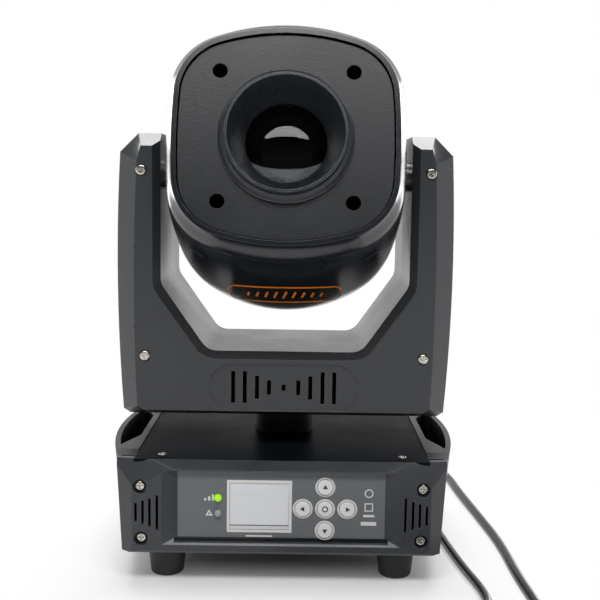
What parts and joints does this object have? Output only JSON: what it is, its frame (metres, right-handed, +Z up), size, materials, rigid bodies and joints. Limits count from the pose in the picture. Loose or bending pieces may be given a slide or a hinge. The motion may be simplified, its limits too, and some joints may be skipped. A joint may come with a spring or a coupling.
{
  "type": "moving head light",
  "caption": "LED moving head spot light: base with display and keys, panning yoke, tilting head with hooded lens, mains and signal leads.",
  "frame": {"origin": "on the floor under the pan axis, at the middle of the base's feet", "axes": "+Z up along the pan axis, -Y towards the lens and the control panel, +X towards the right handle seen from the front"},
  "size_m": [0.2937, 0.5259, 0.3786],
  "materials": {
    "shell_plastic": "satin moulded charcoal",
    "panel_plastic": "fine textured charcoal",
    "handle_plastic": "satin moulded dark grey",
    "sheet_black": "satin powder coat, blue black",
    "overlay": "matt printed film",
    "key_white": "semi gloss",
    "indicator": "clear coloured resin",
    "circuit_board": "solder mask",
    "bare_steel": "zinc plated sheet",
    "screw_nickel": "nickel plated",
    "rubber_black": "matt",
    "cord_black": "smooth PVC",
    "connector_black": "moulded",
    "connector_shell": "satin nickel",
    "belt_rubber": "moulded teeth",
    "motor_black": "satin",
    "alloy": "machined",
    "hood_plastic": "satin",
    "lens_glass": "coated clear",
    "filter_glass": "blackened wheel"
  },
  "bodies": {
    "base": {"base_bottom_tray": "sheet_black", "base_top_plate": "sheet_black", "front_panel": "panel_plastic", "control_overlay": "overlay", "control_board": "circuit_board", "status_leds": "indicator", "power_supply": "bare_steel", "side_handle_left": "handle_plastic", "side_handle_right": "handle_plastic", "rear_panel": "panel_plastic", "mains_inlet": "connector_black", "signal_sockets": "connector_shell", "rubber_feet": "rubber_black", "base_screws": "screw_nickel", "pan_spindle": "alloy", "mains_connector": "connector_black", "mains_lead": "cord_black", "mains_lead_coil": "cord_black", "mains_plug": "connector_black", "signal_connector": "connector_shell", "signal_lead": "cord_black", "signal_lead_coil": "cord_black", "signal_end_connector": "connector_shell"},
    "yoke": {"yoke_frame": "bare_steel", "yoke_front_shell": "shell_plastic", "yoke_rear_shell": "shell_plastic", "yoke_screws": "screw_nickel", "yoke_motors": "motor_black", "yoke_bearings": "bare_steel", "pan_belt": "belt_rubber", "tilt_belt": "belt_rubber"},
    "head": {"head_bezel": "shell_plastic", "head_upper_cover": "shell_plastic", "head_lower_cover": "shell_plastic", "face_plate": "panel_plastic", "lens_hood": "hood_plastic", "front_lens": "lens_glass", "optics_chassis": "sheet_black", "tilt_trunnions": "alloy", "tilt_pulley": "alloy", "heatsink": "alloy", "led_engine": "circuit_board", "fan_housing": "connector_black", "rear_grille": "shell_plastic", "head_motors": "motor_black", "head_screws": "screw_nickel", "guide_rods": "bare_steel"},
    "pan_drive": {"pan_motor_pulley": "alloy"},
    "tilt_drive": {"tilt_motor_pulley": "alloy"},
    "colour_wheel": {"colour_wheel": "filter_glass"},
    "pattern_wheel": {"pattern_wheel": "filter_glass"},
    "focus": {"focus_carriage": "connector_black", "focus_lens": "lens_glass"},
    "focus_drive": {"focus_pinion": "alloy"},
    "fan": {"fan_rotor": "connector_black"},
    "key_up": {"key_up": "key_white"},
    "key_down": {"key_down": "key_white"},
    "key_left": {"key_left": "key_white"},
    "key_right": {"key_right": "key_white"},
    "key_enter": {"key_enter": "key_white"}
  },
  "joints": [
    {"name": "pan", "type": "hinge", "parent": "base", "child": "yoke", "pos_m": [0, 0, 0.1], "axis": [0, 0, 1], "range_deg": [-270, 270]},
    {"name": "tilt", "type": "hinge", "parent": "yoke", "child": "head", "pos_m": [0, 0, 0.2765], "axis": [1, 0, 0], "range_deg": [-205, 55]},
    {"name": "pan_drive", "type": "hinge", "parent": "yoke", "child": "pan_drive", "pos_m": [-0.072, 0, 0.118], "axis": [0, 0, 1], "range_deg": [-1890, 1890]},
    {"name": "tilt_drive", "type": "hinge", "parent": "yoke", "child": "tilt_drive", "pos_m": [0.098, 0, 0.131], "axis": [1, 0, 0], "range_deg": [-768.75, 206.25]},
    {"name": "colour_wheel", "type": "hinge", "parent": "head", "child": "colour_wheel", "pos_m": [0, 0.02786, 0.3032], "axis": [0, -0.9659, 0.2588], "continuous": true},
    {"name": "pattern_wheel", "type": "hinge", "parent": "head", "child": "pattern_wheel", "pos_m": [0, 0.00305, 0.24152], "axis": [0, -0.9659, 0.2588], "continuous": true},
    {"name": "focus", "type": "slide", "parent": "head", "child": "focus", "axis": [0, -0.9659, 0.2588], "range_m": [-0.0085, 0.014]},
    {"name": "focus_drive", "type": "hinge", "parent": "head", "child": "focus_drive", "pos_m": [0.048, -0.03188, 0.28504], "axis": [0, 0.2588, 0.9659], "range_deg": [-81.5, 134]},
    {"name": "fan_spin", "type": "hinge", "parent": "head", "child": "fan", "pos_m": [0, 0.07727, 0.25579], "axis": [0, -0.9659, 0.2588], "continuous": true},
    {"name": "key_up_press", "type": "slide", "parent": "base", "child": "key_up", "axis": [0, 1, 0], "range_m": [0, 0.0008], "stiffness_N_per_m": 700},
    {"name": "key_down_press", "type": "slide", "parent": "base", "child": "key_down", "axis": [0, 1, 0], "range_m": [0, 0.0008], "stiffness_N_per_m": 700},
    {"name": "key_left_press", "type": "slide", "parent": "base", "child": "key_left", "axis": [0, 1, 0], "range_m": [0, 0.0008], "stiffness_N_per_m": 700},
    {"name": "key_right_press", "type": "slide", "parent": "base", "child": "key_right", "axis": [0, 1, 0], "range_m": [0, 0.0008], "stiffness_N_per_m": 700},
    {"name": "key_enter_press", "type": "slide", "parent": "base", "child": "key_enter", "axis": [0, 1, 0], "range_m": [0, 0.0008], "stiffness_N_per_m": 700}
  ],
  "couplings": [
    {"joint": "pan_drive", "follows": "pan", "ratio": -7},
    {"joint": "tilt_drive", "follows": "tilt", "ratio": 3.75},
    {"joint": "focus_drive", "follows": "focus", "rad_per_m": 166.67}
  ]
}
